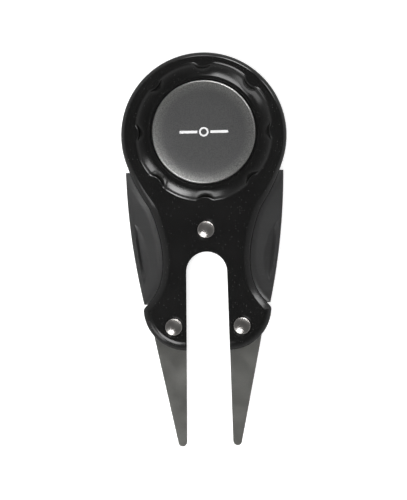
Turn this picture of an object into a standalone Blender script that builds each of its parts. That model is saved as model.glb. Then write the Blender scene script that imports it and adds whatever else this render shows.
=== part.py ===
"""Golf divot repair tool: two riveted covers around a steel fork, side grips and a magnetic ball marker.

The tool lies on its back. +Z points out of its front face, +Y runs from the prong tips to the head, and the
origin is at the centre of the back face's level, halfway along the tool. Dimensions are in metres.
"""

import math

import bmesh
import bpy

MM = 0.001
GAP = 0.25 * MM  # between neighbouring pieces

# Heights above the back face
THICKNESS = 8.4 * MM
SEAM_LOW = 4.1 * MM
SEAM_HIGH = SEAM_LOW + GAP
FORK_LOW = 3.2 * MM
FORK_HIGH = 5.2 * MM
SEAT_Z = 6.3 * MM
DISH_Z = 7.0 * MM

# Places along the tool
MARKER_Y = 26.9 * MM
NECK_RIVET_Y = MARKER_Y - 22.6 * MM
LEG_RIVET_Y = MARKER_Y - 45.0 * MM
LEG_RIVET_X = 7.9 * MM

# Head, neck and lobes of the covers
HEAD_RADIUS = 19.15 * MM
HEAD_Y = MARKER_Y - 0.75 * MM
HEAD_END = -16.0
SHOULDER = (13.3 * MM, MARKER_Y - 16.9 * MM)
SHOULDER_DIRECTION = (-0.545, -0.838)
WAIST = (10.05 * MM, MARKER_Y - 29.8 * MM)
HIP = (13.9 * MM, MARKER_Y - 39.8 * MM)
HIP_DIRECTION = (0.70, -0.71)
LOBE_CENTRE = (4.9 * MM, MARKER_Y - 40.7 * MM)
LOBE_RADIUS = 9.7 * MM
LOBE_START = -4.0
SHOULDER_REACH = (4.0 * MM, 4.2 * MM)
NECK_REACH = (2.6 * MM, 4.5 * MM)
HIP_REACH = (4.4 * MM, 3.4 * MM)
LOBE_REACH = (0.7 * MM, 0.7 * MM)
BEVEL_HEAD = 1.0 * MM
BEVEL_SHOULDER = 1.5 * MM
BEVEL_WAIST = 1.5 * MM
BEVEL_LOBE_SIDE = 1.6 * MM
BEVEL_LOBE_END = 2.1 * MM
BEVEL_DROP = 1.25 * MM
BEVEL_POWER = 1.3
BEVEL_STEPS = 4

# Slot between the legs and prongs
SLOT_HALF = 4.74 * MM
SLOT_ARCH_Y = MARKER_Y - 32.1 * MM
SLOT_FLARE = 0.014

# Scalloped dish around the marker
DISH_OUTER = 16.1 * MM
DISH_INNER = 13.0 * MM
POCKET_RADIUS = 12.3 * MM
SCALLOPS = 8
RIB_DEPTH = 1.3 * MM
RIB_HALF_ANGLE = 6.8
RIB_POWER = 1.3
DISH_STEPS = 4

# Fork
FORK_TAB_RADIUS = 8.0 * MM
FORK_TAB_END = -35.0
FORK_NARROW = (8.6 * MM, MARKER_Y - 27.5 * MM)
FORK_SETBACK = 0.1 * MM
FORK_FLARE = 0.0168
PRONG_TIP = (6.33 * MM, MARKER_Y - 71.9 * MM)
PRONG_TIP_RADIUS = 0.8 * MM
PRONG_TIP_START = -11.5
PRONG_EXIT = (12.1 * MM, MARKER_Y - 47.4 * MM)
PRONG_DIRECTION = (-0.2, -0.98)
NECK_HANDLES = (8.0 * MM, 6.0 * MM)
LEG_HANDLES = (9.0 * MM, 6.0 * MM)
POCKET_OVERCUT = 1.0 * MM  # how far a pocket for the fork runs out past the slot's edge

# Grips
GRIP_RADIUS = 150.9 * MM
GRIP_CENTRE = (-132.8 * MM, MARKER_Y - 6.7 * MM)
GRIP_TOP_Y = MARKER_Y - 9.1 * MM
GRIP_BOTTOM_Y = MARKER_Y - 39.7 * MM
GRIP_INNER_Z = 6.55 * MM
GRIP_OUTER_Z = 6.2 * MM
GRIP_FLARE = 0.45 * MM  # how far the face rises beside the cover
GRIP_FLARE_WIDTH = 1.5 * MM
GRIP_EDGE = 0.7 * MM
GRIP_LEAST_FLAT = 0.3  # share of the width that the outer rounding leaves, at least
GRIP_CLEARANCE = 0.2 * MM
GRIP_STATIONS = 25
GRIP_COLUMNS = 11
TONGUE_DEPTH = 1.0 * MM
TONGUE_LOW = 3.5 * MM
TONGUE_HIGH = 4.9 * MM
CHANNEL_WIDTH = 3.0 * MM
SCOOP_TOP_Y = MARKER_Y - 21.0 * MM
SCOOP_BOTTOM_Y = MARKER_Y - 34.8 * MM
SCOOP_WIDTH = 2.4 * MM
SCOOP_DEPTH = 0.95 * MM
SCOOP_RIM = 0.65 * MM

# Marker and magnet
MARKER_RADIUS = 12.0 * MM
MARKER_LOW = SEAT_Z + GAP
MARKER_EDGE = 8.2 * MM
MARKER_DOME = 0.25 * MM
MARKER_CHAMFER = 0.25 * MM
MAGNET_RADIUS = 5.0 * MM
MAGNET_LOW = FORK_LOW
MAGNET_HIGH = 6.1 * MM
MAGNET_CHAMFER = 0.2 * MM

# Two-part rivets
RIVET_HEAD_RADIUS = 2.0 * MM
RIVET_HEAD_LOW = 8.05 * MM
RIVET_HEAD_EDGE = 8.3 * MM
RIVET_DOME = 0.55 * MM
RIVET_SHANK_RADIUS = 1.05 * MM
RIVET_SHANK_END = 1.6 * MM
CAP_HEAD_RADIUS = 2.1 * MM
CAP_LOW = 0.15 * MM
CAP_FLANGE_HIGH = 0.9 * MM
CAP_CHAMFER = 0.3 * MM
CAP_BARREL_RADIUS = 1.6 * MM
CAP_BORE_RADIUS = RIVET_SHANK_RADIUS + GAP
CAP_BORE_LOW = 1.3 * MM
CAP_HIGH = 7.5 * MM


def clear_scene():
    for obj in list(bpy.data.objects):
        bpy.data.objects.remove(obj, do_unlink=True)


def material(name, colour, roughness, metallic):
    made = bpy.data.materials.new(name)
    made.use_nodes = True
    shader = made.node_tree.nodes["Principled BSDF"]
    shader.inputs["Base Color"].default_value = (*colour, 1.0)
    shader.inputs["Roughness"].default_value = roughness
    shader.inputs["Metallic"].default_value = metallic
    return made


def arc(centre, radius, start, end, steps):
    """Points on a circle from one angle to another, in degrees, both ends included."""
    points = []
    for i in range(steps + 1):
        angle = math.radians(start + (end - start) * i / steps)
        points.append((centre[0] + radius * math.cos(angle), centre[1] + radius * math.sin(angle)))
    return points


def bezier(start, leaving, end, arriving, reach, steps):
    """A cubic between two points, given its directions there and how far its handles reach."""
    first = (start[0] + leaving[0] * reach[0], start[1] + leaving[1] * reach[0])
    second = (end[0] - arriving[0] * reach[1], end[1] - arriving[1] * reach[1])
    points = []
    for i in range(steps + 1):
        t = i / steps
        weights = ((1 - t) ** 3, 3 * t * (1 - t) ** 2, 3 * t * t * (1 - t), t**3)
        knots = (start, first, second, end)
        points.append(tuple(sum(w * p[k] for w, p in zip(weights, knots)) for k in (0, 1)))
    return points


def tangent(angle):
    """Direction along a circle at this angle, going clockwise."""
    return (math.sin(math.radians(angle)), -math.cos(math.radians(angle)))


def slot_half_width(y, flare=SLOT_FLARE):
    return SLOT_HALF + flare * max(0.0, SLOT_ARCH_Y - y)


def cover_edge():
    """The cover's right edge from the top of the head to the slot: its points, and the bevel's width at each."""
    head = arc((0.0, HEAD_Y), HEAD_RADIUS, 90.0, HEAD_END, 28)
    slot_side = slot_half_width(LOBE_CENTRE[1] - LOBE_RADIUS) - LOBE_CENTRE[0]
    lobe_stop = math.degrees(math.asin(slot_side / LOBE_RADIUS)) - 90.0
    lobe = arc(LOBE_CENTRE, LOBE_RADIUS, LOBE_START, lobe_stop, 16)
    shoulder = bezier(head[-1], tangent(HEAD_END), SHOULDER, SHOULDER_DIRECTION, SHOULDER_REACH, 8)
    neck = bezier(SHOULDER, SHOULDER_DIRECTION, WAIST, (0, -1), NECK_REACH, 9)
    hip = bezier(WAIST, (0, -1), HIP, HIP_DIRECTION, HIP_REACH, 9)
    corner = bezier(HIP, HIP_DIRECTION, lobe[0], tangent(LOBE_START), LOBE_REACH, 4)
    stretches = (
        (head, BEVEL_HEAD, BEVEL_HEAD),
        (shoulder, BEVEL_HEAD, BEVEL_SHOULDER),
        (neck, BEVEL_SHOULDER, BEVEL_WAIST),
        (hip, BEVEL_WAIST, BEVEL_WAIST),
        (corner, BEVEL_WAIST, BEVEL_LOBE_SIDE),
        (lobe, BEVEL_LOBE_SIDE, BEVEL_LOBE_END),
    )
    edge = []
    widths = []
    for points, first, last in stretches:
        for i, point in enumerate(points):
            if edge and i == 0:
                continue
            edge.append(point)
            widths.append(first + (last - first) * i / (len(points) - 1))
    return edge, widths


def slot_arch(setback=0.0):
    """The slot's round top, from its right edge to the middle, moved into the material by setback."""
    return arc((0.0, SLOT_ARCH_Y), SLOT_HALF + setback, 0.0, 90.0, 8)


def inward(points):
    """Unit vectors to the right of the direction of travel, which is into a clockwise outline."""
    found = []
    for i in range(len(points)):
        before = points[max(i - 1, 0)]
        after = points[min(i + 1, len(points) - 1)]
        dx = after[0] - before[0]
        dy = after[1] - before[1]
        length = math.hypot(dx, dy)
        found.append((dy / length, -dx / length))
    return found


def mirrored(half):
    """A whole outline from its right half, which starts and ends on the middle line."""
    return half + [(-x, y) for x, y in reversed(half[1:-1])]


def cover_outline(bevel_share):
    """The covers' outline with this share of the bevel taken off it."""
    edge, widths = cover_edge()
    half = []
    for (x, y), (nx, ny), width in zip(edge, inward(edge), widths):
        y = y + ny * width * bevel_share
        x = x + nx * width * bevel_share
        half.append((max(x, slot_half_width(y)) if y < SLOT_ARCH_Y else x, y))
    half[0] = (0.0, half[0][1])
    return mirrored(half + slot_arch())


def fork_outline(overcut=0.0, grow=0.0):
    """The fork's outline, with its outer edge grown and its slot narrowed as a pocket for it needs."""
    tab = arc((0.0, MARKER_Y), FORK_TAB_RADIUS, 90.0, FORK_TAB_END, 14)
    tip = arc(PRONG_TIP, PRONG_TIP_RADIUS, PRONG_TIP_START, -180.0, 6)
    neck = bezier(tab[-1], tangent(FORK_TAB_END), FORK_NARROW, (0, -1), NECK_HANDLES, 5)
    leg = bezier(FORK_NARROW, (0, -1), PRONG_EXIT, PRONG_DIRECTION, LEG_HANDLES, 8)
    outer = tab + neck[1:] + leg[1:] + tip
    grown = [(x - nx * grow, y - ny * grow) for (x, y), (nx, ny) in zip(outer, inward(outer))]
    grown[0] = (0.0, grown[0][1])
    grown[-1] = (slot_half_width(PRONG_TIP[1], FORK_FLARE) + FORK_SETBACK - overcut, grown[-1][1])
    return mirrored(grown + slot_arch(FORK_SETBACK - overcut))


def new_object(name, bm, finish=None, smooth_below=35.0):
    if bm.calc_volume(signed=True) < 0:
        bmesh.ops.reverse_faces(bm, faces=bm.faces)
    mesh = bpy.data.meshes.new(name)
    bm.to_mesh(mesh)
    bm.free()
    obj = bpy.data.objects.new(name, mesh)
    bpy.context.scene.collection.objects.link(obj)
    mesh.shade_smooth()
    mesh.set_sharp_from_angle(angle=math.radians(smooth_below))
    if finish:
        mesh.materials.append(finish)
    else:
        obj.hide_render = True
        obj.display_type = "WIRE"
    return obj


def loft(name, loops, finish=None):
    """A closed solid through a stack of loops of equal length, capped at both ends."""
    bm = bmesh.new()
    rings = [[bm.verts.new(point) for point in loop] for loop in loops]
    count = len(rings[0])
    for lower, upper in zip(rings, rings[1:]):
        for i in range(count):
            j = (i + 1) % count
            bm.faces.new((lower[i], lower[j], upper[j], upper[i]))
    bm.faces.new(reversed(rings[0]))
    bm.faces.new(rings[-1])
    return new_object(name, bm, finish)


def prism(name, outline, low, high, finish=None):
    return loft(name, [[(x, y, z) for x, y in outline] for z in (low, high)], finish)


def disc_loop(centre, radius, z, segments):
    return [(x, y, z) for x, y in arc(centre, radius, 0.0, 360.0, segments)[:-1]]


def turned(name, centre, profile, finish=None, segments=32):
    """A turned solid: profile is (radius, z) from the bottom up, with a flat cap at each end."""
    return loft(name, [disc_loop(centre, radius, z, segments) for radius, z in profile], finish)


def boolean(obj, other, operation="DIFFERENCE"):
    made = obj.modifiers.new(other.name, "BOOLEAN")
    made.operation = operation
    made.solver = "EXACT"
    made.object = other


def rib(angle):
    """How far a rib between two scallops stands into the dish at this angle, in degrees."""
    spacing = 360.0 / SCALLOPS
    from_rib = abs((angle + 0.5 * spacing) % spacing - 0.5 * spacing) / RIB_HALF_ANGLE
    return RIB_DEPTH * max(0.0, 1 - from_rib**2) ** RIB_POWER


def dish_loop(share):
    """One loop of the dish at this share of the way from its floor to its scalloped rim."""
    per_scallop = 16
    loop = []
    for i in range(SCALLOPS * per_scallop):
        angle = 360.0 * i / (SCALLOPS * per_scallop)
        radius = DISH_INNER + (DISH_OUTER - rib(angle) - DISH_INNER) * share
        z = DISH_Z + (THICKNESS - DISH_Z) * (1 - math.sqrt(max(0.0, 1 - share**2)))
        turn = math.radians(angle)
        loop.append((radius * math.cos(turn), MARKER_Y + radius * math.sin(turn), z))
    return loop


def dish_cutter():
    """The space above the marker's seat: a round pocket that opens into the scalloped dish."""
    count = len(dish_loop(0.0))
    centre = (0.0, MARKER_Y)
    loops = [disc_loop(centre, POCKET_RADIUS, z, count) for z in (SEAT_Z, DISH_Z)]
    loops += [dish_loop(math.sin(0.5 * math.pi * i / DISH_STEPS)) for i in range(DISH_STEPS + 1)]
    loops.append([(x, y, THICKNESS + 1 * MM) for x, y, _ in loops[-1]])
    return loft("dish_cutter", loops)


def grip_inner_x(y):
    """The cover's edge beside a grip at this height."""
    edge = cover_edge()[0]
    for (x0, y0), (x1, y1) in zip(edge, edge[1:]):
        if y1 <= y <= y0:
            return x0 + (x1 - x0) * (y0 - y) / (y0 - y1)
    raise ValueError("no cover edge at this height")


def grip_outer_x(y):
    return GRIP_CENTRE[0] + math.sqrt(GRIP_RADIUS**2 - (y - GRIP_CENTRE[1]) ** 2)


def scoop_depth(x, y):
    """How far the finger scoop sinks the grip's face here: steep at its outer side, soft at its inner side."""
    along = (y - SCOOP_BOTTOM_Y) / (SCOOP_TOP_Y - SCOOP_BOTTOM_Y)
    if not 0.0 < along < 1.0:
        return 0.0
    lens = math.sin(math.pi * along) ** 0.7
    from_rim = grip_outer_x(y) - SCOOP_RIM - x
    width = SCOOP_WIDTH * lens
    if not 0.0 <= from_rim <= width:
        return 0.0
    return SCOOP_DEPTH * lens * (1 - from_rim / width) ** 1.5


def grip_section(y):
    """The right grip's cross-section at this height, with the tongue that the covers clamp."""
    inner = grip_inner_x(y) + GRIP_CLEARANCE
    outer = grip_outer_x(y)
    flat_end = max(outer - GRIP_EDGE, inner + GRIP_LEAST_FLAT * (outer - inner))
    stops = [inner + (flat_end - inner) * i / (GRIP_COLUMNS - 1) for i in range(GRIP_COLUMNS)]
    top = []
    for x in stops:
        share = (x - inner) / (outer - inner)
        flare = GRIP_FLARE * max(0.0, 1 - (x - inner) / GRIP_FLARE_WIDTH) ** 2
        top.append((x, GRIP_INNER_Z + (GRIP_OUTER_Z - GRIP_INNER_Z) * share + flare - scoop_depth(x, y)))
    edge = outer - stops[-1]
    low = top[-1][1]
    for step in range(1, 5):
        turn = 0.5 * math.pi * step / 4
        top.append((stops[-1] + edge * math.sin(turn), low - edge * (1 - math.cos(turn))))
    under = [(x, THICKNESS - z) for x, z in reversed(top)]
    tongue_x = inner - TONGUE_DEPTH - GRIP_CLEARANCE
    tongue = [(inner, TONGUE_LOW), (tongue_x, TONGUE_LOW), (tongue_x, TONGUE_HIGH), (inner, TONGUE_HIGH)]
    return [(x, y, z) for x, z in top + under + tongue]


def grip(name, side, finish):
    loops = []
    for i in range(GRIP_STATIONS):
        y = GRIP_TOP_Y + (GRIP_BOTTOM_Y - GRIP_TOP_Y) * i / (GRIP_STATIONS - 1)
        loops.append([(side * x, y, z) for x, y, z in grip_section(y)])
    return loft(name, loops, finish)


def tongue_cutter(name, side):
    """The channel in both covers for a grip's tongue."""
    loops = []
    for i in range(GRIP_STATIONS):
        y = GRIP_TOP_Y + GAP + (GRIP_BOTTOM_Y - GRIP_TOP_Y - 2 * GAP) * i / (GRIP_STATIONS - 1)
        near = grip_inner_x(y) - TONGUE_DEPTH - GAP
        far = near + CHANNEL_WIDTH
        low = TONGUE_LOW - GAP
        high = TONGUE_HIGH + GAP
        section = ((near, low), (far, low), (far, high), (near, high))
        loops.append([(side * x, y, z) for x, z in section])
    return loft(name, loops)


def covers(finish):
    rear = []
    for i in range(BEVEL_STEPS + 1):
        turn = 0.5 * math.pi * (1 - i / BEVEL_STEPS)
        z = BEVEL_DROP * (1 - math.sin(turn) ** BEVEL_POWER)
        taken = 1 - max(0.0, math.cos(turn)) ** BEVEL_POWER
        rear.append([(x, y, z) for x, y in cover_outline(taken)])
    rear.append([(x, y, SEAM_LOW) for x, y, _ in rear[-1]])
    front = [[(x, y, THICKNESS - z) for x, y, z in loop] for loop in rear[:-1]]
    front.append([(x, y, SEAM_HIGH) for x, y, _ in front[-1]])
    return loft("front_cover", front, finish), loft("rear_cover", rear, finish)


def rivet_places():
    return (
        ("neck", (0.0, NECK_RIVET_Y)),
        ("left", (-LEG_RIVET_X, LEG_RIVET_Y)),
        ("right", (LEG_RIVET_X, LEG_RIVET_Y)),
    )


def rivet_profile():
    dome = []
    for i in range(5):
        turn = math.radians(18.0 * i)
        dome.append((RIVET_HEAD_RADIUS * math.cos(turn), RIVET_HEAD_EDGE + RIVET_DOME * math.sin(turn)))
    return [
        (RIVET_SHANK_RADIUS, RIVET_SHANK_END),
        (RIVET_SHANK_RADIUS, RIVET_HEAD_LOW),
        (RIVET_HEAD_RADIUS, RIVET_HEAD_LOW),
    ] + dome


def rivet_cap(name, centre, finish):
    """A headed barrel, bored from its open end for the rivet's shank."""
    profile = [
        (CAP_HEAD_RADIUS - CAP_CHAMFER, CAP_LOW),
        (CAP_HEAD_RADIUS, CAP_LOW + CAP_CHAMFER),
        (CAP_HEAD_RADIUS, CAP_FLANGE_HIGH),
        (CAP_BARREL_RADIUS, CAP_FLANGE_HIGH),
        (CAP_BARREL_RADIUS, CAP_HIGH),
        (CAP_BORE_RADIUS, CAP_HIGH),
        (CAP_BORE_RADIUS, CAP_BORE_LOW),
    ]
    return turned(name, centre, profile, finish, 24)


def rivet_hole(name, centre):
    """A stepped hole through the stack, with a shallow seat for each end of the rivet."""
    shaft = CAP_BARREL_RADIUS + GAP
    front_seat = RIVET_HEAD_RADIUS + GAP
    rear_seat = CAP_HEAD_RADIUS + GAP
    front_floor = RIVET_HEAD_LOW - GAP
    rear_floor = CAP_FLANGE_HIGH + GAP
    profile = [
        (rear_seat, -1 * MM),
        (rear_seat, rear_floor),
        (shaft, rear_floor),
        (shaft, front_floor),
        (front_seat, front_floor),
        (front_seat, THICKNESS + 1 * MM),
    ]
    return turned(name, centre, profile, None, 28)


def ball_marker(finish):
    centre = (0.0, MARKER_Y)
    face = MARKER_RADIUS - MARKER_CHAMFER
    profile = [
        (face, MARKER_LOW),
        (MARKER_RADIUS, MARKER_LOW + MARKER_CHAMFER),
        (MARKER_RADIUS, MARKER_EDGE - MARKER_CHAMFER),
        (face, MARKER_EDGE),
    ]
    for share in (0.8, 0.55, 0.25):
        profile.append((face * share, MARKER_EDGE + MARKER_DOME * (1 - share**2)))
    return turned("ball_marker", centre, profile, finish, 64)


def build():
    clear_scene()
    black = material("black_plastic", (0.012, 0.012, 0.013), 0.22, 0.0)
    gunmetal = material("gunmetal_steel", (0.16, 0.16, 0.155), 0.42, 1.0)
    grey = material("grey_grip", (0.045, 0.045, 0.046), 0.48, 0.0)
    nickel = material("nickel_plate", (0.62, 0.61, 0.60), 0.18, 1.0)
    marker_steel = material("marker_steel", (0.2, 0.2, 0.2), 0.38, 1.0)
    magnet_plate = material("magnet_plate", (0.55, 0.54, 0.52), 0.3, 1.0)

    front, rear = covers(black)
    fork = prism("fork_plate", fork_outline(), FORK_LOW, FORK_HIGH, gunmetal)
    grip("left_grip", -1, grey)
    grip("right_grip", 1, grey)

    pocket = prism("fork_pocket", fork_outline(POCKET_OVERCUT, GAP), FORK_LOW - GAP, FORK_HIGH + GAP)
    hole_radius = MAGNET_RADIUS + GAP
    hole = [(hole_radius, FORK_LOW - GAP), (hole_radius, SEAT_Z + GAP)]
    magnet_hole = turned("magnet_hole", (0.0, MARKER_Y), hole)
    boolean(front, dish_cutter())
    boolean(front, magnet_hole)
    boolean(fork, magnet_hole)
    for cover in (front, rear):
        boolean(cover, pocket)
    for name, side in (("left", -1), ("right", 1)):
        channel = tongue_cutter(f"{name}_channel", side)
        boolean(front, channel)
        boolean(rear, channel)
    for name, centre in rivet_places():
        hole = rivet_hole(f"{name}_rivet_hole", centre)
        for pierced in (front, fork, rear):
            boolean(pierced, hole)
        turned(f"{name}_rivet", centre, rivet_profile(), nickel, 32)
        rivet_cap(f"{name}_rivet_cap", centre, nickel)

    ball_marker(marker_steel)
    magnet = [
        (MAGNET_RADIUS - MAGNET_CHAMFER, MAGNET_LOW),
        (MAGNET_RADIUS, MAGNET_LOW + MAGNET_CHAMFER),
        (MAGNET_RADIUS, MAGNET_HIGH - MAGNET_CHAMFER),
        (MAGNET_RADIUS - MAGNET_CHAMFER, MAGNET_HIGH),
    ]
    turned("magnet", (0.0, MARKER_Y), magnet, magnet_plate, 40)


build()
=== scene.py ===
"""Looks of the divot repair tool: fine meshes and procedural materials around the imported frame.

The tool lies on its back, +Z out of its front, +Y from the prong tips to the head, in metres.
"""

import math

import bmesh
import bpy
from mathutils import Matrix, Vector


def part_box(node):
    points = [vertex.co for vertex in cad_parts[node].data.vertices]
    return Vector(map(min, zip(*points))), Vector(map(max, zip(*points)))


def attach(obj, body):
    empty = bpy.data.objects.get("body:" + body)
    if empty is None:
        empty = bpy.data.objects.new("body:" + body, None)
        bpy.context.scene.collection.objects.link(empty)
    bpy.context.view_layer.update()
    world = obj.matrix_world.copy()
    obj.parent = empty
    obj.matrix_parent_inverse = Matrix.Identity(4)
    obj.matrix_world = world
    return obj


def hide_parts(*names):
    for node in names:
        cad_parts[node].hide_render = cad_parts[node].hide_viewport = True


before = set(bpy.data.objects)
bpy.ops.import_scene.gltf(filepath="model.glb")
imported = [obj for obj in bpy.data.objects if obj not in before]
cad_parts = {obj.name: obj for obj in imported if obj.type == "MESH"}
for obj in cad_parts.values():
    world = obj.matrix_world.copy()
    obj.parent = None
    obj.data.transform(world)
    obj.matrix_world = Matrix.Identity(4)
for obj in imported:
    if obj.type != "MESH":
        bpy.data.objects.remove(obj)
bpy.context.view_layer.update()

MM = 0.001
GAP = 0.25 * MM  # between neighbouring pieces

# Heights and places from the frame
MARKER_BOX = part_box("ball_marker")
RIVET_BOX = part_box("neck_rivet")
CAP_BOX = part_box("neck_rivet_cap")
GRIP_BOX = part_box("right_grip")
MAGNET_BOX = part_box("magnet")
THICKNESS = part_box("front_cover")[1][2]
SEAM_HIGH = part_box("front_cover")[0][2]
SEAM_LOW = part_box("rear_cover")[1][2]
FORK_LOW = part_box("fork_plate")[0][2]
FORK_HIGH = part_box("fork_plate")[1][2]
MARKER_Y = 0.5 * (MARKER_BOX[0][1] + MARKER_BOX[1][1])
MARKER_RADIUS = 0.5 * (MARKER_BOX[1][1] - MARKER_BOX[0][1])
MARKER_LOW = MARKER_BOX[0][2]
MARKER_TOP = MARKER_BOX[1][2]
NECK_RIVET_Y = 0.5 * (RIVET_BOX[0][1] + RIVET_BOX[1][1])

# Heights and places set out from those
LEG_RIVET_Y = MARKER_Y - 45.0 * MM
LEG_RIVET_X = 7.9 * MM
SEAT_Z = MARKER_LOW - GAP
DISH_Z = SEAT_Z + 0.35 * MM

# Meshes
SMOOTH_BELOW = 38.0  # the angle between faces up to which their shading runs on, in degrees
CUT_PAST = 1.0 * MM  # how far a cutter runs out past the surface
DOME_STEPS = 24

# Head, neck and lobes of the covers. Angles are in degrees, and a reach is the length of a curve's handles.
HEAD_RADIUS = 19.145 * MM
HEAD_Y = MARKER_Y - 0.75 * MM
HEAD_END = -19.0
SHOULDER = (13.3 * MM, MARKER_Y - 16.9 * MM)
SHOULDER_DIRECTION = (-0.545, -0.838)
WAIST = (10.05 * MM, MARKER_Y - 29.8 * MM)
HIP = (13.9 * MM, MARKER_Y - 39.8 * MM)
HIP_DIRECTION = (0.70, -0.71)
LOBE_CENTRE = (4.95 * MM, MARKER_Y - 40.6 * MM)
LOBE_RADIUS = 9.85 * MM
LOBE_START = -4.0
SHOULDER_REACH = (4.0 * MM, 4.2 * MM)
NECK_REACH = (2.6 * MM, 4.5 * MM)
HIP_REACH = (4.4 * MM, 3.4 * MM)
LOBE_REACH = (0.7 * MM, 0.7 * MM)
BEVEL_HEAD = 1.0 * MM
BEVEL_SHOULDER = 1.5 * MM
BEVEL_WAIST = 1.5 * MM
BEVEL_LOBE_SIDE = 1.6 * MM
BEVEL_LOBE_END = 2.1 * MM
BEVEL_DROP = 1.25 * MM
BEVEL_STEPS = 14
ROUND_BEVEL = (1.3, 1.0)  # form, from 1 for a round edge to 2 for a flat chamfer, and share of the drop
FLAT_BEVEL = (1.85, 0.82)
EDGE_ROUND = 0.12 * MM
SEAM_BREAK = 0.7  # how far down the bevel its outline breaks the edge at the seam

# Slot between the legs and prongs
SLOT_HALF = 4.74 * MM
SLOT_ARCH_Y = MARKER_Y - 32.45 * MM
SLOT_FLARE = 0.014

# Scalloped dish around the marker
DISH_INNER = 12.9 * MM
DISH_SLOPES = (  # width of each stretch from the floor outwards, and its slope at either end in degrees
    (0.4 * MM, 0.0, 22.0),
    (1.8 * MM, 22.0, 34.0),
    (0.6 * MM, 34.0, 46.0),
    (0.85 * MM, 46.0, 8.0),
)
DISH_STEPS = 7
DISH_POINTS = 40
POCKET_RADIUS = 12.3 * MM
SCALLOPS = 8
RIB_DEPTH = 1.35 * MM
RIB_CREST = 2.0  # half the angle that a rib's blunt end takes up
RIB_FOOT = 8.6
RIB_SWELL = 0.4 * MM  # how much further out the middle of a scallop is
RIB_FADE = 2.0
POCKET_ROUND = 0.25 * MM

# Fork
FORK_TAB_RADIUS = 8.0 * MM
FORK_TAB_END = -35.0
FORK_NARROW = (8.6 * MM, MARKER_Y - 27.5 * MM)
FORK_SETBACK = 0.02 * MM
FORK_FLARE = 0.0145
PRONG_TIP = (6.35 * MM, MARKER_Y - 71.68 * MM)
PRONG_TIP_RADIUS = 1.0 * MM
PRONG_TIP_START = -11.5
PRONG_EXIT = (12.38 * MM, MARKER_Y - 47.4 * MM)
PRONG_DIRECTION = (-0.2, -0.98)
NECK_HANDLES = (8.0 * MM, 6.0 * MM)
LEG_HANDLES = (9.0 * MM, 6.0 * MM)
POCKET_OVERCUT = 1.0 * MM  # how far a pocket for the fork runs out past the slot's edge
FORK_EDGE = 0.16 * MM
FORK_EDGE_SHARES = (1.0, 0.6, 0.3, 0.08, 0.0)  # of the edge's rounding, from the face inwards

# Grips
GRIP_RADIUS = 150.9 * MM
GRIP_CENTRE = (-132.65 * MM, MARKER_Y - 6.7 * MM)
GRIP_INNER_Z = 6.55 * MM
GRIP_OUTER_Z = 6.2 * MM
GRIP_FLARE = 0.3 * MM  # how far the face rises beside the cover
GRIP_FLARE_WIDTH = 1.5 * MM
GRIP_EDGE = 0.4 * MM
GRIP_LEAST_SHARES = (0.3, 0.45, 0.6)  # of its width, where the grip is narrow
GRIP_CLEARANCE = 0.1 * MM
GRIP_STATIONS = 150
GRIP_ROUND_STEPS = 8
GRIP_COLUMNS = (30, 4, 4)  # across the face to the scoop's wall, down the wall and on to the rounding
TONGUE_DEPTH = 1.0 * MM
TONGUE_LOW = 3.5 * MM
TONGUE_HIGH = 4.9 * MM
CHANNEL_WIDTH = 3.0 * MM
CHANNEL_STATIONS = 60
SCOOP_TOP_Y = MARKER_Y - 21.0 * MM
SCOOP_BOTTOM_Y = MARKER_Y - 34.8 * MM
SCOOP_WIDTH = 2.4 * MM
SCOOP_DEPTH = 0.65 * MM
SCOOP_RIM = 0.95 * MM
SCOOP_WALL = 0.55 * MM
SCOOP_FORM = 1.4
SCOOP_TAPER = 0.7  # lower for blunter ends

# Marker, magnet and rivets
MARKER_ROUND = 0.45 * MM
MARKER_LOW_ROUND = 0.25 * MM
MARKER_FACE = MARKER_RADIUS - MARKER_ROUND
MARKER_DOME = 0.28 * MM
MARKER_POWER = 6.0
MARKER_PAINTED_SHEEN = (9.2 * MM, 11.9 * MM)  # where a painted sheen brightens the face towards its edge, standing in for reflections on its dome
PRINT_LIFT = 0.02 * MM
LINE_START = 1.5 * MM
LINE_END = 5.6 * MM
LINE_HALF = 0.3 * MM
LINE_STEPS = 12
RING_RADIUS = 0.9 * MM
RING_HALF = 0.2 * MM
MAGNET_RADIUS = 5.0 * MM
MAGNET_ROUND = 0.2 * MM
RIVET_HEAD_RADIUS = 2.0 * MM
RIVET_RIM = 1.9 * MM
RIVET_SHANK_RADIUS = 1.05 * MM
RIVET_HEAD_LOW = 8.05 * MM
RIVET_DOME = 0.46 * MM
CAP_HEAD_RADIUS = 2.1 * MM
CAP_BARREL_RADIUS = 1.6 * MM
CAP_FLANGE_HIGH = 0.9 * MM
CAP_ROUND = 0.3 * MM
CAP_BORE_LOW = 1.3 * MM

# Camera and studio
FOCAL_LENGTH = 500.0
SENSOR = 36.0
FRAME_HEIGHT = 115.5 * MM
FRAME_CENTRE = (-0.64 * MM, -0.4 * MM)
CAMERA_TURN = -1.2
LIGHT_DISTANCE = 3.0
FLOOR_HALF = 4.0
FLOOR_Z = -0.02 * MM
FLOOR_GLOW = 0.65
ROOM_RISE = (0.05, 0.8)  # the room's light changes between these heights of the sky, as sines
ROOM_LIGHT = (0.6, 0.1)  # near the horizon and overhead


# ---- outlines ----

def arc(centre, radius, start, end, steps):
    """Points on a circle from one angle to another, in degrees, both ends included."""
    points = []
    for i in range(steps + 1):
        angle = math.radians(start + (end - start) * i / steps)
        points.append((centre[0] + radius * math.cos(angle), centre[1] + radius * math.sin(angle)))
    return points


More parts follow.
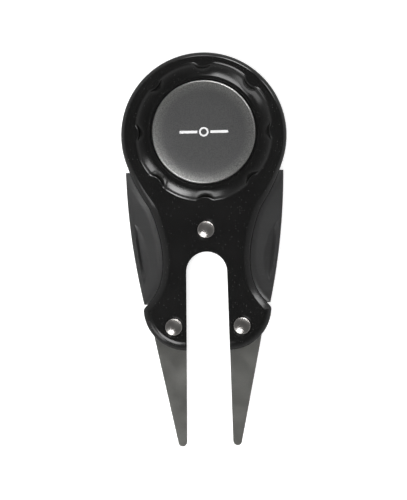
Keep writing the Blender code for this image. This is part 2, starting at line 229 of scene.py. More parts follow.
def bezier(start, leaving, end, arriving, reach, steps):
    """A cubic between two points, given its directions there and how far its handles reach."""
    first = (start[0] + leaving[0] * reach[0], start[1] + leaving[1] * reach[0])
    second = (end[0] - arriving[0] * reach[1], end[1] - arriving[1] * reach[1])
    points = []
    for i in range(steps + 1):
        t = i / steps
        weights = ((1 - t) ** 3, 3 * t * (1 - t) ** 2, 3 * t * t * (1 - t), t**3)
        knots = (start, first, second, end)
        points.append(tuple(sum(w * p[k] for w, p in zip(weights, knots)) for k in (0, 1)))
    return points


def tangent(angle):
    """Direction along a circle at this angle, going clockwise."""
    return (math.sin(math.radians(angle)), -math.cos(math.radians(angle)))


def slot_half_width(y, flare=SLOT_FLARE):
    """Half the slot's width at this height. Below its arch it widens by the flare."""
    return SLOT_HALF + flare * max(0.0, SLOT_ARCH_Y - y)


def cover_edge():
    """The cover's right edge from the top of the head to the slot.

    Gives its points, and the bevel's width, form and share of the drop at each point.
    """
    head = arc((0.0, HEAD_Y), HEAD_RADIUS, 90.0, HEAD_END, 90)
    slot_side = slot_half_width(LOBE_CENTRE[1] - LOBE_RADIUS) - LOBE_CENTRE[0]
    lobe_stop = math.degrees(math.asin(slot_side / LOBE_RADIUS)) - 90.0
    lobe = arc(LOBE_CENTRE, LOBE_RADIUS, LOBE_START, lobe_stop, 48)
    shoulder = bezier(head[-1], tangent(HEAD_END), SHOULDER, SHOULDER_DIRECTION, SHOULDER_REACH, 22)
    neck = bezier(SHOULDER, SHOULDER_DIRECTION, WAIST, (0, -1), NECK_REACH, 26)
    hip = bezier(WAIST, (0, -1), HIP, HIP_DIRECTION, HIP_REACH, 26)
    corner = bezier(HIP, HIP_DIRECTION, lobe[0], tangent(LOBE_START), LOBE_REACH, 10)
    stretches = (
        (head, BEVEL_HEAD, BEVEL_HEAD, ROUND_BEVEL, ROUND_BEVEL),
        (shoulder, BEVEL_HEAD, BEVEL_SHOULDER, ROUND_BEVEL, FLAT_BEVEL),
        (neck, BEVEL_SHOULDER, BEVEL_WAIST, FLAT_BEVEL, FLAT_BEVEL),
        (hip, BEVEL_WAIST, BEVEL_WAIST, FLAT_BEVEL, FLAT_BEVEL),
        (corner, BEVEL_WAIST, BEVEL_LOBE_SIDE, FLAT_BEVEL, ROUND_BEVEL),
        (lobe, BEVEL_LOBE_SIDE, BEVEL_LOBE_END, ROUND_BEVEL, ROUND_BEVEL),
    )
    edge = []
    bevels = []
    for points, first, last, first_form, last_form in stretches:
        for i, point in enumerate(points):
            if edge and i == 0:
                continue
            along = i / (len(points) - 1)
            form = [a + (b - a) * along for a, b in zip(first_form, last_form)]
            edge.append(point)
            bevels.append((first + (last - first) * along, *form))
    return edge, bevels


def slot_arch(setback=0.0):
    """The slot's round top, from its right edge to the middle, moved into the material by setback."""
    return arc((0.0, SLOT_ARCH_Y), SLOT_HALF + setback, 0.0, 90.0, 28)


def inward(points):
    """Unit vectors to the right of the direction of travel, which is into a clockwise outline."""
    found = []
    for i in range(len(points)):
        before = points[max(i - 1, 0)]
        after = points[min(i + 1, len(points) - 1)]
        dx = after[0] - before[0]
        dy = after[1] - before[1]
        length = math.hypot(dx, dy)
        found.append((dy / length, -dx / length))
    return found


def mirrored(half):
    """A whole outline from its right half, which starts and ends on the middle line."""
    return half + [(-x, y) for x, y in reversed(half[1:-1])]


def cover_outline(fallen, slot_inset):
    """The covers' outline where the bevel has fallen by this share, with the slot's edge moved back."""
    edge, bevels = cover_edge()
    half = []
    for (x, y), (nx, ny), (width, form, drop) in zip(edge, inward(edge), bevels):
        left = max(0.0, 1 - fallen / drop)
        taken = width * (1 - (1 - left ** (2 / form)) ** (form / 2))
        x = x + nx * taken
        y = y + ny * taken
        half.append((max(x, slot_half_width(y) + slot_inset) if y < SLOT_ARCH_Y else x, y))
    half[0] = (0.0, half[0][1])
    return mirrored(half + slot_arch(slot_inset))


def fork_outline(inset=0.0, overcut=0.0):
    """The fork's outline, moved into the material by inset, with its slot narrowed by overcut."""
    tab = arc((0.0, MARKER_Y), FORK_TAB_RADIUS, 90.0, FORK_TAB_END, 48)
    tip = arc(PRONG_TIP, PRONG_TIP_RADIUS, PRONG_TIP_START, -180.0, 24)
    neck = bezier(tab[-1], tangent(FORK_TAB_END), FORK_NARROW, (0, -1), NECK_HANDLES, 20)
    leg = bezier(FORK_NARROW, (0, -1), PRONG_EXIT, PRONG_DIRECTION, LEG_HANDLES, 30)
    outer = tab + neck[1:] + leg[1:] + tip
    moved = [(x + nx * inset, y + ny * inset) for (x, y), (nx, ny) in zip(outer, inward(outer))]
    moved[0] = (0.0, moved[0][1])
    setback = FORK_SETBACK + max(inset, 0.0) - overcut
    moved[-1] = (slot_half_width(PRONG_TIP[1], FORK_FLARE) + setback, moved[-1][1])
    return mirrored(moved + slot_arch(setback))


# ---- meshes ----

def new_object(name, bm, material=None):
    """An object from this mesh, with its faces turned outwards and its flatter edges shaded smooth."""
    if bm.calc_volume(signed=True) < 0:
        bmesh.ops.reverse_faces(bm, faces=bm.faces)
    mesh = bpy.data.meshes.new(name)
    bm.to_mesh(mesh)
    bm.free()
    obj = bpy.data.objects.new(name, mesh)
    bpy.context.scene.collection.objects.link(obj)
    mesh.shade_smooth()
    mesh.set_sharp_from_angle(angle=math.radians(SMOOTH_BELOW))
    if material:
        mesh.materials.append(material)
    return obj


def loft(name, loops, material=None):
    """A closed solid through a stack of loops of equal length, capped at both ends."""
    bm = bmesh.new()
    rings = [[bm.verts.new(point) for point in loop] for loop in loops]
    count = len(rings[0])
    for lower, upper in zip(rings, rings[1:]):
        for i in range(count):
            j = (i + 1) % count
            bm.faces.new((lower[i], lower[j], upper[j], upper[i]))
    bm.faces.new(reversed(rings[0]))
    bm.faces.new(rings[-1])
    return new_object(name, bm, material)


def at_height(outline, z):
    return [(x, y, z) for x, y in outline]


def disc_loop(centre, radius, z, segments):
    return [(x, y, z) for x, y in arc(centre, radius, 0.0, 360.0, segments)[:-1]]


def turned(name, centre, profile, material=None, segments=96):
    """A turned solid: profile is (radius, z) from the bottom up, with a flat cap at each end."""
    return loft(name, [disc_loop(centre, radius, z, segments) for radius, z in profile], material)


def rounded(radius, z, size, start, end, steps=5):
    """Profile points round a corner whose rounding is centred at this radius and height."""
    points = []
    for i in range(steps + 1):
        turn = math.radians(start + (end - start) * i / steps)
        points.append((radius + size * math.cos(turn), z + size * math.sin(turn)))
    return points


def settle(obj):
    """Turns an object's modifiers into its mesh, with its flat faces kept flat in the shading."""
    weighted = obj.modifiers.new("flat_faces", "WEIGHTED_NORMAL")
    weighted.keep_sharp = True
    graph = bpy.context.evaluated_depsgraph_get()
    made = bpy.data.meshes.new_from_object(obj.evaluated_get(graph))
    obj.modifiers.clear()
    obj.data = made


def cut(obj, cutters):
    """Takes the cutters out of an object and settles it."""
    for cutter in cutters:
        made = obj.modifiers.new(cutter.name, "BOOLEAN")
        made.solver = "EXACT"
        made.object = cutter
    settle(obj)


def discard(objects):
    for obj in objects:
        bpy.data.objects.remove(obj, do_unlink=True)


def place(obj, node, body):
    """The piece takes a CAD node's place and moves with its body."""
    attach(obj, body)
    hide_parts(node)


# ---- materials ----

class Finish:
    """A Principled material under construction, with procedural texture in object space."""

    def __init__(self, name, colour, roughness, metallic):
        self.made = bpy.data.materials.new(name)
        self.made.use_nodes = True
        self.tree = self.made.node_tree
        self.shader = self.tree.nodes["Principled BSDF"]
        self.shader.inputs["Base Color"].default_value = (*colour, 1.0)
        self.shader.inputs["Roughness"].default_value = roughness
        self.shader.inputs["Metallic"].default_value = metallic
        self.coordinates = self.tree.nodes.new("ShaderNodeTexCoord")
        self.last_normal = None

    def stretched(self, stretch):
        mapping = self.tree.nodes.new("ShaderNodeMapping")
        mapping.inputs["Scale"].default_value = stretch
        self.tree.links.new(self.coordinates.outputs["Object"], mapping.inputs["Vector"])
        return mapping.outputs["Vector"]

    def noise(self, size, detail=2.0, stretch=(1.0, 1.0, 1.0)):
        """Noise whose features are about this size."""
        node = self.tree.nodes.new("ShaderNodeTexNoise")
        node.inputs["Scale"].default_value = 1.0 / size
        node.inputs["Detail"].default_value = detail
        self.tree.links.new(self.stretched(stretch), node.inputs["Vector"])
        return node.outputs["Fac"]

    def distance_from(self, point):
        node = self.tree.nodes.new("ShaderNodeVectorMath")
        node.operation = "DISTANCE"
        self.tree.links.new(self.coordinates.outputs["Object"], node.inputs[0])
        node.inputs[1].default_value = point
        return node.outputs["Value"]

    def specks(self, spacing, radius):
        """1 on small scattered dots, 0 between them. Only some cells hold a dot."""
        cells = self.tree.nodes.new("ShaderNodeTexVoronoi")
        cells.inputs["Scale"].default_value = 1.0 / spacing
        self.tree.links.new(self.coordinates.outputs["Object"], cells.inputs["Vector"])
        dot = self.ranged(cells.outputs["Distance"], radius / spacing, 0.6 * radius / spacing, 0.0, 1.0)
        parts = self.tree.nodes.new("ShaderNodeSeparateColor")
        self.tree.links.new(cells.outputs["Color"], parts.inputs["Color"])
        chosen = self.ranged(parts.outputs["Red"], 0.55, 1.0, 0.0, 1.0)
        return self.combined("MULTIPLY", dot, chosen)

    def combined(self, operation, first, second):
        node = self.tree.nodes.new("ShaderNodeMath")
        node.operation = operation
        self.tree.links.new(first, node.inputs[0])
        if isinstance(second, float):
            node.inputs[1].default_value = second
        else:
            self.tree.links.new(second, node.inputs[1])
        return node.outputs["Value"]

    def ranged(self, value, low, high, to_low, to_high):
        """Maps a value from one range to another, clamped."""
        node = self.tree.nodes.new("ShaderNodeMapRange")
        self.tree.links.new(value, node.inputs["Value"])
        keys = ("From Min", "From Max", "To Min", "To Max")
        for key, number in zip(keys, (low, high, to_low, to_high)):
            node.inputs[key].default_value = number
        return node.outputs["Result"]

    def mixed(self, share, first, second):
        """A colour between two, either of which may be another node's output."""
        node = self.tree.nodes.new("ShaderNodeMix")
        node.data_type = "RGBA"
        self.tree.links.new(share, node.inputs["Factor"])
        for key, colour in (("A", first), ("B", second)):
            socket = next(s for s in node.inputs if s.name == key and s.type == "RGBA")
            if isinstance(colour, tuple):
                socket.default_value = (*colour, 1.0)
            else:
                self.tree.links.new(colour, socket)
        return next(s for s in node.outputs if s.type == "RGBA")

    def drive(self, key, output):
        self.tree.links.new(output, self.shader.inputs[key])

    def bump(self, height, depth):
        """Adds relief of this depth; calls stack."""
        node = self.tree.nodes.new("ShaderNodeBump")
        node.inputs["Strength"].default_value = 1.0
        node.inputs["Distance"].default_value = depth
        self.tree.links.new(height, node.inputs["Height"])
        if self.last_normal:
            self.tree.links.new(self.last_normal, node.inputs["Normal"])
        self.last_normal = node.outputs["Normal"]
        self.drive("Normal", self.last_normal)


def black_plastic():
    """Gloss moulding: slight ripple, cloudy handling marks and white dust."""
    finish = Finish("black_plastic", (0.004, 0.004, 0.0042), 0.16, 0.0)
    clouds = finish.noise(7.0 * MM, 3.0)
    fine = finish.noise(0.5 * MM, 2.0)
    speckle = finish.ranged(finish.noise(0.2 * MM, 2.0), 0.4, 0.7, 0.0, 1.0)
    dust = finish.specks(0.5 * MM, 0.08 * MM)
    base = finish.mixed(clouds, (0.002, 0.002, 0.0022), (0.0045, 0.0043, 0.0042))
    base = finish.mixed(speckle, base, (0.009, 0.009, 0.0086))
    finish.drive("Base Color", finish.mixed(dust, base, (0.09, 0.09, 0.086)))
    finish.drive("Roughness", finish.ranged(clouds, 0.3, 0.7, 0.13, 0.22))
    finish.bump(finish.noise(2.6 * MM, 1.0), 0.006 * MM)
    finish.bump(fine, 0.0012 * MM)
    return finish.made


def gunmetal_steel():
    """Satin steel plate with smudges and a fine blasted grain."""
    finish = Finish("gunmetal_steel", (0.2, 0.2, 0.19), 0.42, 1.0)
    smudge = finish.noise(3.5 * MM, 4.0)
    grain = finish.noise(0.16 * MM, 2.0)
    base = finish.mixed(smudge, (0.22, 0.22, 0.207), (0.31, 0.31, 0.292))
    shade = finish.ranged(grain, 0.3, 0.7, 0.0, 0.35)
    finish.drive("Base Color", finish.mixed(shade, base, (0.2, 0.2, 0.19)))
    finish.drive("Roughness", finish.ranged(smudge, 0.3, 0.7, 0.38, 0.5))
    finish.bump(grain, 0.004 * MM)
    return finish.made


def grey_grip():
    """Satin dark grey moulding with faint streaks across it."""
    finish = Finish("grey_grip", (0.02, 0.02, 0.0205), 0.4, 0.0)
    finish.shader.inputs["Specular IOR Level"].default_value = 0.8
    streaks = finish.noise(0.35 * MM, 3.0, (0.06, 1.0, 0.06))
    grain = finish.noise(0.2 * MM, 2.0)
    base = finish.mixed(streaks, (0.015, 0.015, 0.0155), (0.026, 0.026, 0.026))
    dust = finish.specks(1.0 * MM, 0.08 * MM)
    finish.drive("Base Color", finish.mixed(dust, base, (0.1, 0.1, 0.1)))
    finish.drive("Roughness", finish.ranged(streaks, 0.3, 0.7, 0.3, 0.38))
    finish.bump(grain, 0.004 * MM)
    return finish.made


def nickel_plate():
    """Polished nickel with a light haze."""
    finish = Finish("nickel_plate", (0.56, 0.54, 0.52), 0.24, 1.0)
    haze = finish.noise(1.4 * MM, 3.0)
    finish.drive("Base Color", finish.mixed(haze, (0.5, 0.48, 0.46), (0.62, 0.6, 0.58)))
    finish.drive("Roughness", finish.ranged(haze, 0.3, 0.7, 0.22, 0.27))
    finish.bump(finish.noise(0.6 * MM, 2.0), 0.0006 * MM)
    return finish.made


def marker_steel():
    """Sand-blasted gunmetal disc, with a painted sheen that brightens it near its edge in place of
    reflections on the domed face.
    """
    finish = Finish("marker_steel", (0.34, 0.34, 0.345), 0.36, 1.0)
    grain = finish.noise(0.22 * MM, 2.0)
    clouds = finish.noise(5.0 * MM, 2.0)
    base = finish.mixed(clouds, (0.27, 0.27, 0.275), (0.34, 0.34, 0.34))
    # Painted highlight: the face is lightened towards its rim to stand in for the lights' reflection on its
    # domed edge.
    outwards = finish.distance_from((0.0, MARKER_Y, MARKER_TOP))
    painted_edge_sheen = finish.ranged(outwards, *MARKER_PAINTED_SHEEN, 0.0, 1.0)
    base = finish.mixed(painted_edge_sheen, base, (0.62, 0.62, 0.6))
    shade = finish.ranged(grain, 0.35, 0.65, 0.0, 0.8)
    finish.drive("Base Color", finish.mixed(shade, base, (0.2, 0.2, 0.2)))
    finish.drive("Roughness", finish.ranged(grain, 0.3, 0.7, 0.32, 0.42))
    finish.bump(grain, 0.006 * MM)
    return finish.made


def magnet_plate():
    """Duller nickel plating."""
    finish = Finish("magnet_plate", (0.6, 0.59, 0.57), 0.3, 1.0)
    haze = finish.noise(0.8 * MM, 3.0)
    finish.drive("Base Color", finish.mixed(haze, (0.5, 0.49, 0.47), (0.66, 0.65, 0.63)))
    finish.bump(haze, 0.002 * MM)
    return finish.made


def white_print():
    """Slightly uneven white ink."""
    finish = Finish("white_print", (0.75, 0.75, 0.75), 0.5, 0.0)
    grain = finish.noise(0.15 * MM, 2.0)
    finish.drive("Base Color", finish.mixed(grain, (0.68, 0.68, 0.68), (0.82, 0.82, 0.82)))
    return finish.made


# ---- pieces ----

def cover(name, top, seam, material):
    """One cover as a loft from its outer face to the seam, bevelled, with a small break at the seam."""
    away = 1.0 if top > seam else -1.0
    loops = []
    for i in range(BEVEL_STEPS + 1):
        fallen = 1.0
        if i < BEVEL_STEPS:
            fallen = 1 - math.cos(0.5 * math.pi * i / BEVEL_STEPS) ** ROUND_BEVEL[0]
        rise = BEVEL_DROP * fallen
        slot_inset = EDGE_ROUND * max(0.0, 1 - rise / EDGE_ROUND) ** 2
        loops.append(at_height(cover_outline(fallen, slot_inset), top - away * rise))
    loops.append(at_height(cover_outline(1.0, 0.0), seam + away * EDGE_ROUND))
    loops.append(at_height(cover_outline(SEAM_BREAK, EDGE_ROUND), seam))
    return loft(name, loops, material)


def rib(angle):
    """How far a rib between two scallops stands into the dish at this angle, in degrees."""
    spacing = 360.0 / SCALLOPS
    from_rib = abs((angle + 0.5 * spacing) % spacing - 0.5 * spacing)
    share = min(1.0, max(0.0, (from_rib - RIB_CREST) / (RIB_FOOT - RIB_CREST)))
    swell = RIB_SWELL * (2 * from_rib / spacing - 1) ** 2
    return swell + (RIB_DEPTH - RIB_SWELL) * (1 - share * share * (3 - 2 * share))


def dish_profile():
    """Radii and heights from the dish's floor to the cover's face. The slopes are scaled to end there."""
    radius = DISH_INNER
    height = 0.0
    points = [(radius, height)]
    for width, first, last in DISH_SLOPES:
        for i in range(DISH_STEPS):
            slope = first + (last - first) * (i + 0.5) / DISH_STEPS
            radius += width / DISH_STEPS
            height += width / DISH_STEPS * math.tan(math.radians(slope))
            points.append((radius, height))
    stretch = (THICKNESS - DISH_Z) / height
    return [(radius, DISH_Z + height * stretch) for radius, height in points]


def dish_loop(radius, rim, z):
    """One loop of the dish. The ribs stand out at its rim and fade into its wall."""
    loop = []
    for i in range(SCALLOPS * DISH_POINTS):
        angle = 360.0 * i / (SCALLOPS * DISH_POINTS)
        squeezed = radius - rib(angle) * ((radius - DISH_INNER) / (rim - DISH_INNER)) ** RIB_FADE
        turn = math.radians(angle)
        loop.append((squeezed * math.cos(turn), MARKER_Y + squeezed * math.sin(turn), z))
    return loop


def dish_cutter():
    """The space above the marker's seat: a round pocket that opens with a soft lip into the dish."""
    count = SCALLOPS * DISH_POINTS
    centre = (0.0, MARKER_Y)
    loops = [disc_loop(centre, POCKET_RADIUS, SEAT_Z, count)]
    corner = rounded(POCKET_RADIUS + POCKET_ROUND, DISH_Z - POCKET_ROUND, POCKET_ROUND, 180.0, 90.0)
    loops += [disc_loop(centre, radius, z, count) for radius, z in corner]
    profile = dish_profile()
    rim = profile[-1][0]
    loops += [dish_loop(radius, rim, z) for radius, z in profile]
    loops.append(dish_loop(rim, rim, THICKNESS + CUT_PAST))
    return loft("dish_cutter", loops)


def rivet_places():
    """The name and place of each rivet."""
    return (
        ("neck", (0.0, NECK_RIVET_Y)),
        ("left", (-LEG_RIVET_X, LEG_RIVET_Y)),
        ("right", (LEG_RIVET_X, LEG_RIVET_Y)),
    )


def rivet_hole(name, centre):
    """A stepped hole through the covers and the fork, with a seat for each end of the rivet."""
    shaft = CAP_BARREL_RADIUS + GAP
    front = RIVET_HEAD_RADIUS + GAP
    rear = CAP_HEAD_RADIUS + GAP
    profile = [(rear + EDGE_ROUND, -CUT_PAST)]
    profile += rounded(rear + EDGE_ROUND, EDGE_ROUND, EDGE_ROUND, 270.0, 180.0)
    profile += [(rear, CAP_FLANGE_HIGH + GAP), (shaft, CAP_FLANGE_HIGH + GAP)]
    profile += [(shaft, RIVET_HEAD_LOW - GAP), (front, RIVET_HEAD_LOW - GAP)]
    profile += rounded(front + EDGE_ROUND, THICKNESS - EDGE_ROUND, EDGE_ROUND, 180.0, 90.0)
    profile.append((front + EDGE_ROUND, THICKNESS + CUT_PAST))
    return turned(name, centre, profile)


def grip_inner_x(y, edge):
    """The cover's edge beside a grip at this height."""
    for (x0, y0), (x1, y1) in zip(edge, edge[1:]):
        if y1 <= y <= y0:
            return x0 + (x1 - x0) * (y0 - y) / (y0 - y1)
    raise ValueError("no cover edge at this height")


def grip_outer_x(y):
    """The tool's side at this height, on a wide arc."""
    return GRIP_CENTRE[0] + math.sqrt(GRIP_RADIUS**2 - (y - GRIP_CENTRE[1]) ** 2)


def scoop_depth(x, y):
    """How far the finger scoop sinks the grip's face here: steep on its outer side, soft on its inner."""
    along = (y - SCOOP_BOTTOM_Y) / (SCOOP_TOP_Y - SCOOP_BOTTOM_Y)
    if not 0.0 < along < 1.0:
        return 0.0
    lens = math.sin(math.pi * along) ** SCOOP_TAPER
    from_rim = grip_outer_x(y) - SCOOP_RIM - x
    width = SCOOP_WIDTH * lens
    if not 0.0 <= from_rim <= width:
        return 0.0
    wall = min(SCOOP_WALL, 0.5 * width)
    if from_rim < wall:
        return SCOOP_DEPTH * lens * from_rim / wall
    return SCOOP_DEPTH * lens * (1 - (from_rim - wall) / (width - wall)) ** SCOOP_FORM


def grip_section(y, edge):
    """The right grip's cross-section at this height, with the tongue that the covers clamp."""
    inner = grip_inner_x(y, edge) + GRIP_CLEARANCE
    outer = grip_outer_x(y)
    limits = [inner]
    for distance, share in zip((SCOOP_RIM + SCOOP_WALL, SCOOP_RIM, GRIP_EDGE), GRIP_LEAST_SHARES):
        limits.append(max(outer - distance, inner + share * (outer - inner)))
    stops = [inner]
    for first, last, count in zip(limits, limits[1:], GRIP_COLUMNS):
        stops += [first + (last - first) * (i + 1) / count for i in range(count)]
    flat_end = limits[-1]
    top = [(inner, GRIP_INNER_Z + GRIP_FLARE - EDGE_ROUND)]
    for x in stops:
        share = (x - inner) / (outer - inner)
        flare = GRIP_FLARE * max(0.0, 1 - (x - inner) / GRIP_FLARE_WIDTH) ** 2
        top.append((x, GRIP_INNER_Z + (GRIP_OUTER_Z - GRIP_INNER_Z) * share + flare - scoop_depth(x, y)))
    round_width = outer - flat_end
    low = top[-1][1]
    for step in range(1, GRIP_ROUND_STEPS + 1):
        turn = 0.5 * math.pi * step / GRIP_ROUND_STEPS
        top.append((flat_end + round_width * math.sin(turn), low - round_width * (1 - math.cos(turn))))
    under = [(x, THICKNESS - z) for x, z in reversed(top)]
    tongue_x = inner - TONGUE_DEPTH - GRIP_CLEARANCE
    tongue = [(inner, TONGUE_LOW), (tongue_x, TONGUE_LOW), (tongue_x, TONGUE_HIGH), (inner, TONGUE_HIGH)]
    return [(x, y, z) for x, z in top + under + tongue]


def grip(node, side, material):
    """A grip as a loft down the side of the tool; side is 1 for the right and -1 for the left."""
    edge = cover_edge()[0]
    loops = []
    for i in range(GRIP_STATIONS + 1):
        y = GRIP_BOX[1][1] + (GRIP_BOX[0][1] - GRIP_BOX[1][1]) * i / GRIP_STATIONS
        loops.append([(side * x, y, z) for x, y, z in grip_section(y, edge)])
    obj = loft(f"{node}_skin", loops, material)
    settle(obj)
    place(obj, node, "tool")


def tongue_cutter(name, side):
    """The channel in both covers for a grip's tongue."""
    edge = cover_edge()[0]
    top = GRIP_BOX[1][1] + GAP
    bottom = GRIP_BOX[0][1] - GAP
    loops = []
    for i in range(CHANNEL_STATIONS + 1):
        y = top + (bottom - top) * i / CHANNEL_STATIONS
        near = grip_inner_x(y, edge) - TONGUE_DEPTH - GAP
        far = near + CHANNEL_WIDTH
        low = TONGUE_LOW - GAP
        high = TONGUE_HIGH + GAP
        section = ((near, low), (far, low), (far, high), (near, high))
        loops.append([(side * x, y, z) for x, z in section])
    return loft(name, loops)


def fork(material):
    """The plate with its two prongs, rounded along its edges."""
    loops = []
    for share in FORK_EDGE_SHARES:
        inset = FORK_EDGE * share
        rise = FORK_EDGE * (1 - math.sqrt(1 - (1 - share) ** 2))
        loops.append(at_height(fork_outline(inset), FORK_LOW + rise))
    upper = [[(x, y, FORK_LOW + FORK_HIGH - z) for x, y, z in loop] for loop in reversed(loops)]
    return loft("fork_plate_skin", loops + upper, material)


def rivet(name, centre, material):
    """A shank under a head whose dome is part of a sphere."""
    top = RIVET_BOX[1][2]
    edge_z = top - RIVET_DOME
    sphere = (RIVET_HEAD_RADIUS**2 + RIVET_DOME**2) / (2 * RIVET_DOME)
    widest = math.asin(RIVET_RIM / sphere)
    profile = [(RIVET_SHANK_RADIUS, RIVET_BOX[0][2]), (RIVET_SHANK_RADIUS, RIVET_HEAD_LOW)]
    profile += [(RIVET_HEAD_RADIUS, RIVET_HEAD_LOW), (RIVET_HEAD_RADIUS, edge_z - EDGE_ROUND)]
    for i in range(DOME_STEPS):
        turn = widest * (1 - i / DOME_STEPS)
        profile.append((sphere * math.sin(turn), top - sphere * (1 - math.cos(turn))))
    obj = turned(f"{name}_skin", centre, profile, material)
    place(obj, name, "tool")


def rivet_cap(name, centre, material):
    """A headed barrel, bored from its open end for the rivet's shank."""
    low = CAP_BOX[0][2]
    high = CAP_BOX[1][2]
    bore = RIVET_SHANK_RADIUS + GAP
    profile = rounded(CAP_HEAD_RADIUS - CAP_ROUND, low + CAP_ROUND, CAP_ROUND, 270.0, 360.0, 8)
    profile += [(CAP_HEAD_RADIUS, CAP_FLANGE_HIGH), (CAP_BARREL_RADIUS, CAP_FLANGE_HIGH)]
    profile += [(CAP_BARREL_RADIUS, high), (bore, high), (bore, CAP_BORE_LOW)]
    obj = turned(f"{name}_skin", centre, profile, material)
    place(obj, name, "tool")


def marker_height(radius):
    """Height of the marker's domed face at this distance from its middle."""
    return MARKER_TOP - MARKER_DOME * (radius / MARKER_FACE) ** MARKER_POWER


def ball_marker(material):
    """A disc with a faintly domed face and a rounded edge."""
    low = MARKER_LOW + MARKER_LOW_ROUND
    high = marker_height(MARKER_FACE) - MARKER_ROUND
    profile = rounded(MARKER_RADIUS - MARKER_LOW_ROUND, low, MARKER_LOW_ROUND, 270.0, 360.0)
    profile += rounded(MARKER_FACE, high, MARKER_ROUND, 0.0, 90.0, 8)
    for i in range(1, DOME_STEPS):
        radius = MARKER_FACE * (1 - i / DOME_STEPS)
        profile.append((radius, marker_height(radius)))
    obj = turned("ball_marker_skin", (0.0, MARKER_Y), profile, material, 160)
    place(obj, "ball_marker", "marker")


def on_dome(point, lift):
    """A point this far above the marker's face, from its place measured from the marker's middle."""
    x, y = point
    return (x, MARKER_Y + y, marker_height(math.hypot(x, y)) + lift)


def printed(name, path, half_width, closed, material):
    """A printed line along a path measured from the marker's middle, laid on its dome."""
    count = len(path)
    loops = []
    for i, (x, y) in enumerate(path):
        before = path[i - 1] if closed or i else path[0]
        after = path[(i + 1) % count] if closed or i + 1 < count else path[-1]
        along = Vector((after[0] - before[0], after[1] - before[1])).normalized()
        left = (x - along.y * half_width, y + along.x * half_width)
        right = (x + along.y * half_width, y - along.x * half_width)
        low = [on_dome(left, -PRINT_LIFT), on_dome(right, -PRINT_LIFT)]
        high = [on_dome(right, PRINT_LIFT), on_dome(left, PRINT_LIFT)]
        loops.append(low + high)
    bm = bmesh.new()
    rings = [[bm.verts.new(point) for point in loop] for loop in loops]
    pairs = list(zip(rings, rings[1:])) + ([(rings[-1], rings[0])] if closed else [])
    for first, second in pairs:
        for i in range(4):
            j = (i + 1) % 4
            bm.faces.new((first[i], first[j], second[j], second[i]))
    if not closed:
        bm.faces.new(reversed(rings[0]))
        bm.faces.new(rings[-1])
    obj = new_object(name, bm, material)
    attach(obj, "marker")


def alignment_print(material):
    """A plain alignment line across the marker, broken by a ring."""
    for name, side in (("left_alignment_line", -1), ("right_alignment_line", 1)):
        path = []
        for i in range(LINE_STEPS + 1):
            path.append((side * (LINE_START + (LINE_END - LINE_START) * i / LINE_STEPS), 0.0))
        printed(name, path, LINE_HALF, False, material)
    ring = arc((0.0, 0.0), RING_RADIUS, 0.0, 360.0, 48)[:-1]
    printed("alignment_ring", ring, RING_HALF, True, material)


def magnet(material):
    """A disc under the marker, rounded at both rims."""
    low = MAGNET_BOX[0][2]
    high = MAGNET_BOX[1][2]
    flat = MAGNET_RADIUS - MAGNET_ROUND
    profile = rounded(flat, low + MAGNET_ROUND, MAGNET_ROUND, 270.0, 360.0)
    profile += rounded(flat, high - MAGNET_ROUND, MAGNET_ROUND, 0.0, 90.0)
    obj = turned("magnet_skin", (0.0, MARKER_Y), profile, material)
    place(obj, "magnet", "tool")


def build():
    """Every piece of the tool. The covers and the fork are cut to house the rest."""
    black = black_plastic()
    nickel = nickel_plate()
    front = cover("front_cover_skin", THICKNESS, SEAM_HIGH, black)
    rear = cover("rear_cover_skin", 0.0, SEAM_LOW, black)
    plate = fork(gunmetal_steel())

    pocket_outline = fork_outline(-GAP, POCKET_OVERCUT)
    pocket_loops = [at_height(pocket_outline, z) for z in (FORK_LOW - GAP, FORK_HIGH + GAP)]
    pocket = loft("fork_pocket", pocket_loops)
    hole_radius = MAGNET_RADIUS + GAP
    hole_profile = [(hole_radius, FORK_LOW - GAP), (hole_radius, SEAT_Z + GAP)]
    magnet_hole = turned("magnet_hole", (0.0, MARKER_Y), hole_profile)
    channels = [tongue_cutter(f"{name}_channel", side) for name, side in (("left", -1), ("right", 1))]
    holes = [rivet_hole(f"{name}_hole", centre) for name, centre in rivet_places()]
    dish = dish_cutter()
    cut(front, [dish, magnet_hole, pocket] + channels + holes)
    cut(rear, [pocket] + channels + holes)
    cut(plate, [magnet_hole] + holes)
    discard([dish, magnet_hole, pocket] + channels + holes)
    place(front, "front_cover", "tool")
    place(rear, "rear_cover", "tool")
    place(plate, "fork_plate", "tool")

    grey = grey_grip()
    grip("left_grip", -1, grey)
    grip("right_grip", 1, grey)
    for name, centre in rivet_places():
        rivet(f"{name}_rivet", centre, nickel)
        rivet_cap(f"{name}_rivet_cap", centre, nickel)
    ball_marker(marker_steel())
    alignment_print(white_print())
    magnet(magnet_plate())


# ---- studio ----

def softbox(name, azimuth, tilt, size, radiance, in_gloss=True, in_matt=True):
    """An area light aimed at the tool. Tilt is from the vertical, and size is width and height."""
    data = bpy.data.lights.new(name, "AREA")
    data.shape = "RECTANGLE"
    data.size = size[0]
    data.size_y = size[1]
    data.energy = radiance * math.pi * size[0] * size[1]
    obj = bpy.data.objects.new(name, data)
    turn = math.radians(azimuth)
    lean = math.radians(tilt)
    away = Vector((math.sin(lean) * math.cos(turn), math.sin(lean) * math.sin(turn), math.cos(lean)))
    obj.location = away * LIGHT_DISTANCE
    obj.rotation_euler = away.to_track_quat("Z", "Y").to_euler()
    obj.visible_glossy = in_gloss
    obj.visible_diffuse = in_matt
    bpy.context.scene.collection.objects.link(obj)


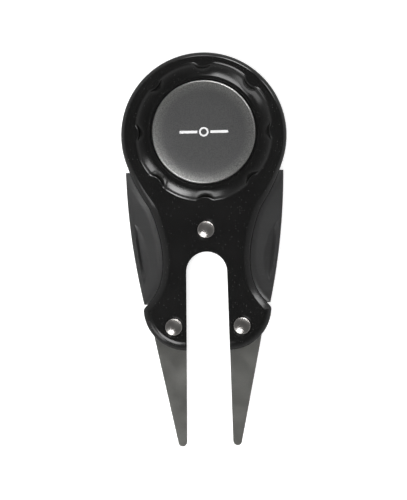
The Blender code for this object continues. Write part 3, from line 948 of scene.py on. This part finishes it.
def floor():
    """A pale sheet with a faint glow, kept out of reflections."""
    bm = bmesh.new()
    corners = ((-1, -1), (1, -1), (1, 1), (-1, 1))
    bm.faces.new([bm.verts.new((x * FLOOR_HALF, y * FLOOR_HALF, FLOOR_Z)) for x, y in corners])
    mesh = bpy.data.meshes.new("floor")
    bm.to_mesh(mesh)
    bm.free()
    finish = Finish("floor_paper", (0.8, 0.8, 0.8), 0.9, 0.0)
    finish.shader.inputs["Emission Color"].default_value = (1.0, 1.0, 1.0, 1.0)
    finish.shader.inputs["Emission Strength"].default_value = FLOOR_GLOW
    paper = finish.noise(2.0 * MM, 2.0)
    finish.drive("Base Color", finish.mixed(paper, (0.79, 0.79, 0.79), (0.81, 0.81, 0.81)))
    mesh.materials.append(finish.made)
    obj = bpy.data.objects.new("floor", mesh)
    obj.visible_glossy = False
    bpy.context.scene.collection.objects.link(obj)


def surroundings():
    """A pale room: bright near the horizon and dim overhead."""
    world = bpy.data.worlds.new("studio")
    world.use_nodes = True
    tree = world.node_tree
    coordinates = tree.nodes.new("ShaderNodeTexCoord")
    parts = tree.nodes.new("ShaderNodeSeparateXYZ")
    height = tree.nodes.new("ShaderNodeMapRange")
    height.interpolation_type = "SMOOTHSTEP"
    for key, number in zip(("From Min", "From Max", "To Min", "To Max"), ROOM_RISE + ROOM_LIGHT):
        height.inputs[key].default_value = number
    tree.links.new(coordinates.outputs["Generated"], parts.inputs["Vector"])
    tree.links.new(parts.outputs["Z"], height.inputs["Value"])
    tree.links.new(height.outputs["Result"], tree.nodes["Background"].inputs["Strength"])
    tree.nodes["Background"].inputs["Color"].default_value = (1.0, 1.0, 1.0, 1.0)
    bpy.context.scene.world = world


def camera():
    """A long lens straight above the tool, turned slightly."""
    data = bpy.data.cameras.new("camera")
    data.lens = FOCAL_LENGTH
    data.sensor_width = SENSOR
    obj = bpy.data.objects.new("camera", data)
    distance = FRAME_HEIGHT * FOCAL_LENGTH / SENSOR
    obj.location = (FRAME_CENTRE[0], FRAME_CENTRE[1], THICKNESS + distance)
    obj.rotation_euler = (0.0, 0.0, math.radians(CAMERA_TURN))
    bpy.context.scene.collection.objects.link(obj)
    bpy.context.scene.camera = obj


def studio():
    """Floor, room, lights and camera. A softbox left out of matt surfaces only shows as a reflection."""
    floor()
    surroundings()
    softbox("upper_softbox", 66.0, 60.0, (1.0, 1.05), 11.0, in_matt=False)
    softbox("top_softbox", 93.0, 60.0, (0.8, 1.05), 4.5, in_matt=False)
    softbox("right_softbox", 36.0, 60.0, (0.6, 1.05), 7.0, in_matt=False)
    softbox("lower_softbox", 242.0, 34.0, (1.2, 1.15), 7.0)
    softbox("side_softbox", 222.0, 57.0, (1.4, 0.9), 2.4)
    softbox("left_fill", 195.0, 45.0, (1.5, 1.5), 6.0, in_gloss=False)
    softbox("overhead_fill", 0.0, 0.0, (1.2, 1.2), 9.0, in_gloss=False)
    camera()
    bpy.context.scene.view_settings.view_transform = "Standard"


build()
studio()
